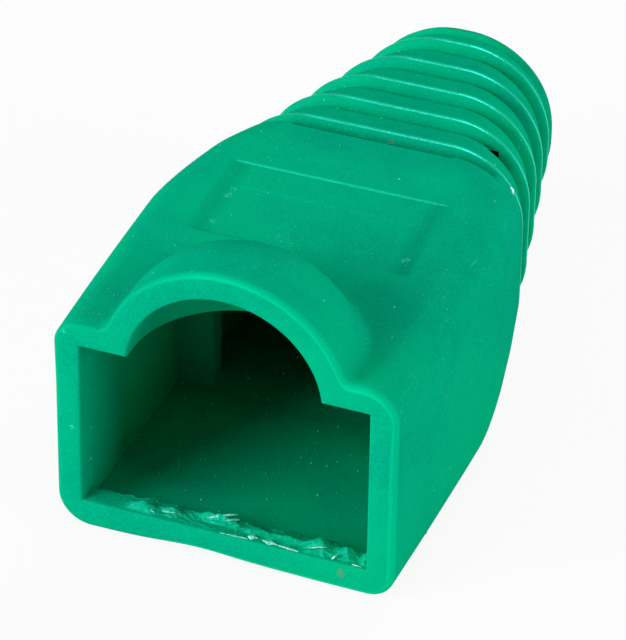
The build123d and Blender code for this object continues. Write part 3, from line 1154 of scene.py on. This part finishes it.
class MakeMoulding(bpy.types.Operator):
    """Makes the boot's moulding: hooded body, hollow, ringed tail and flex slots"""

    bl_idname = "boot.moulding"
    bl_label = "Moulding"

    def execute(self, context):
        shape, tail = context.scene.boot_shape, context.scene.boot_tail
        values = {
            "Groove start": shape.neck_place - tail.groove_lead,
            "Ring pitch": tail.ring_pitch,
            "Groove depth": tail.groove_depth,
            "Material": compound("green_pvc_satin", context.scene.boot_finish),
        }
        ringed = apply_tree(shell_object(shape, tail), ring_tree(), "boot_ringed", values)
        slot = {
            "x": (tail.slot_inside, SLOT_REACH),
            "y": (-tail.slot_width, 0.0),
            "z": (tail.slot_bottom, tail.slot_top),
        }
        cutters = [
            corner_boxes("slots", shape, tail, slot, CORNERS),
            corner_boxes("pit", shape, tail, PIT, ((1, 1),)),
        ]
        for cutter in cutters:
            cut(ringed, cutter)
        made = evaluated_copy(ringed, "boot_moulding")
        for cutter in cutters:
            bpy.data.objects.remove(cutter)
        groove = made.data.attributes.get("groove")
        if groove:
            made.data.attributes.remove(groove)
        if len(made.data.polygons) < FEWEST_FACES:
            raise RuntimeError("the moulding came out with too few faces")
        finish_mesh(made, -shape.total_length / 2)
        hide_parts(NODE)
        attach(made, BODY)
        return {"FINISHED"}


class MakeLipFlash(bpy.types.Operator):
    """Makes the torn flash on the mouth's lip, with its curled flakes"""

    bl_idname = "boot.lip_flash"
    bl_label = "Lip flash"

    def execute(self, context):
        shape, finish = context.scene.boot_shape, context.scene.boot_finish
        made = flash_object(shape)
        made.data.materials.append(compound("green_pvc_torn", finish, torn=True))
        made.data.materials.append(sliver_material("green_pvc_sliver", finish))
        finish_mesh(made, -shape.total_length / 2, FLASH_SHARP)
        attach(made, BODY)
        return {"FINISHED"}


class MakeDust(bpy.types.Operator):
    """Makes the dust specks that lie on the moulding"""

    bl_idname = "boot.dust"
    bl_label = "Dust"

    def execute(self, context):
        shape, finish = context.scene.boot_shape, context.scene.boot_finish
        moulding = bpy.data.objects["boot_moulding"].data
        margin = 2 * finish.speck_size
        values = {
            "Density": finish.specks / sum(face.area for face in moulding.polygons),
            "Grain size": finish.speck_size,
            "Floor height": shape.floor_thickness + shape.lip_rise + 0.1 * MM,
            "Half width": shape.shoulder_width / 2 - margin,
            "Half length": shape.total_length / 2 - margin,
            "Top": shape.hood_height + shape.hood_radius - margin,
            "Seed": finish.speck_seed,
            "Material": speck_material("dust_pale", finish.dust),
        }
        made = apply_tree(new_object("dust_carrier", moulding.copy()), dust_tree(), "dust", values)
        if len(made.data.polygons) == 0:
            raise RuntimeError("no dust came out")
        made.data.shade_smooth()
        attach(made, BODY)
        return {"FINISHED"}


class MakeStage(bpy.types.Operator):
    """Makes the floor, the lamps, the world and the camera"""

    bl_idname = "boot.stage"
    bl_label = "Stage"

    def execute(self, context):
        stage = context.scene.boot_stage
        floor = mesh_object("floor", [(-2, -2, 0), (2, -2, 0), (2, 2, 0), (-2, 2, 0)], [(0, 1, 2, 3)])
        floor.data.transform(Matrix.Translation((0, 0, -0.02 * MM)))
        floor.data.materials.append(floor_material(tuple(stage.floor)))
        light_world(context.scene, stage.world)
        softbox("front_softbox", (-43, 16), FRONT_SIZE, stage.front)
        softbox("side_softbox", (85, 15), SOFTBOX_SIZE, stage.side)
        softbox("back_softbox", (180, 40), SOFTBOX_SIZE, stage.back)
        softbox("top_strip", STRIP_DIRECTION, STRIP_SIZE, stage.top)
        place_camera(context.scene)
        context.scene.view_settings.view_transform = "Standard"
        return {"FINISHED"}


FLOOR_LIFT = 0.91
WHITE = (1.0, 1.0, 1.0, 1.0)


def floor_material(tint):
    """Pale floor: seen by the camera it is lifted to white, and keeps the shadow."""
    material, nodes = new_material("floor_pale")
    rays = nodes.make("ShaderNodeLightPath").outputs
    seen = Wire(nodes, rays["Is Camera Ray"]) + Wire(nodes, rays["Is Glossy Ray"])
    seen = (seen + Wire(nodes, rays["Is Transmission Ray"])).clamped()
    plain = nodes.out("ShaderNodeBsdfDiffuse", inputs={"Color": tint})
    lift = nodes.out("ShaderNodeEmission", inputs={"Color": WHITE, "Strength": 1.0})
    nodes.finish(nodes.blend(seen * FLOOR_LIFT, plain, lift))
    return material


def light_world(scene, strength):
    """An even white light from all round; the camera sees only the floor."""
    world = bpy.data.worlds.new("studio")
    world.use_nodes = True
    nodes = Nodes(world.node_tree)
    even = nodes.out("ShaderNodeBackground", inputs={"Color": WHITE, "Strength": strength})
    nodes.make("ShaderNodeOutputWorld", inputs={"Surface": even})
    scene.world = world


LAMP_DISTANCE = 0.5
SOFTBOX_SIZE = (0.25, 0.25)
FRONT_SIZE = (0.33, 0.33)
STRIP_SIZE = (0.62, 0.045)
STRIP_DIRECTION = (30, 80)


def lamp_direction(azimuth, elevation):
    """Direction to a lamp, from its azimuth to the right of the mouth and its elevation in degrees."""
    turn, tilt = np.radians(azimuth), np.radians(elevation)
    return Vector((np.sin(turn) * np.cos(tilt), -np.cos(turn) * np.cos(tilt), np.sin(tilt)))


def softbox(name, angles, size, power):
    """An area lamp that faces the boot from an azimuth and an elevation."""
    direction = lamp_direction(*angles)
    lamp = bpy.data.lights.new(name, "AREA")
    lamp.shape = "RECTANGLE"
    lamp.size, lamp.size_y = size
    lamp.energy = power
    made = new_object(name, lamp)
    made.location = direction * LAMP_DISTANCE
    made.rotation_euler = direction.to_track_quat("Z", "Y").to_euler()


CAMERA_PLACE = (48.2072 * MM, -131.2861 * MM, 96.7516 * MM)
CAMERA_RIGHT = (0.931362, 0.363845, 0.013493)
CAMERA_UP = (-0.213668, 0.516186, 0.829396)
CAMERA_BACK = (0.294807, -0.775351, 0.558498)
FOCAL_PIXELS = 4045.22


def place_camera(scene):
    """The camera at the photograph's viewing angle."""
    data = bpy.data.cameras.new("camera")
    data.sensor_width = 36.0
    data.lens = FOCAL_PIXELS * data.sensor_width / max(PICTURE_SIZE)
    data.clip_start = 0.01
    data.clip_end = 10.0
    camera = new_object("camera", data)
    axes = Matrix((CAMERA_RIGHT, CAMERA_UP, CAMERA_BACK)).transposed()
    camera.matrix_world = Matrix.Translation(CAMERA_PLACE) @ axes.to_4x4()
    scene.camera = camera


class BootPanel(bpy.types.Panel):
    """Lists the boot's pieces and sizes"""

    bl_idname = "VIEW3D_PT_boot"
    bl_label = "Strain relief boot"
    bl_space_type = "VIEW_3D"
    bl_region_type = "UI"
    bl_category = "Boot"

    def draw(self, context):
        layout = self.layout
        for operator in OPERATORS:
            layout.operator(operator.bl_idname)
        for group in GROUPS:
            box = layout.box()
            box.label(text=group.removeprefix("boot_").capitalize())
            settings = getattr(context.scene, group)
            for name in settings.__annotations__:
                box.prop(settings, name)


GROUPS = {
    "boot_shape": BootShape,
    "boot_tail": BootTail,
    "boot_finish": BootFinish,
    "boot_stage": BootStage,
}
OPERATORS = (MakeMoulding, MakeLipFlash, MakeDust, MakeStage)


def register():
    """Registers the classes and their settings."""
    for name, group in GROUPS.items():
        bpy.utils.register_class(group)
        setattr(bpy.types.Scene, name, PointerProperty(type=group))
    for kind in (*OPERATORS, BootPanel):
        bpy.utils.register_class(kind)


def unregister():
    """Takes the classes and their settings away."""
    for kind in (BootPanel, *reversed(OPERATORS)):
        bpy.utils.unregister_class(kind)
    for name, group in reversed(GROUPS.items()):
        delattr(bpy.types.Scene, name)
        bpy.utils.unregister_class(group)


def main():
    """Makes every piece in order."""
    register()
    bpy.ops.boot.stage()
    bpy.ops.boot.moulding()
    bpy.ops.boot.lip_flash()
    bpy.ops.boot.dust()


if __name__ == "__main__":
    main()
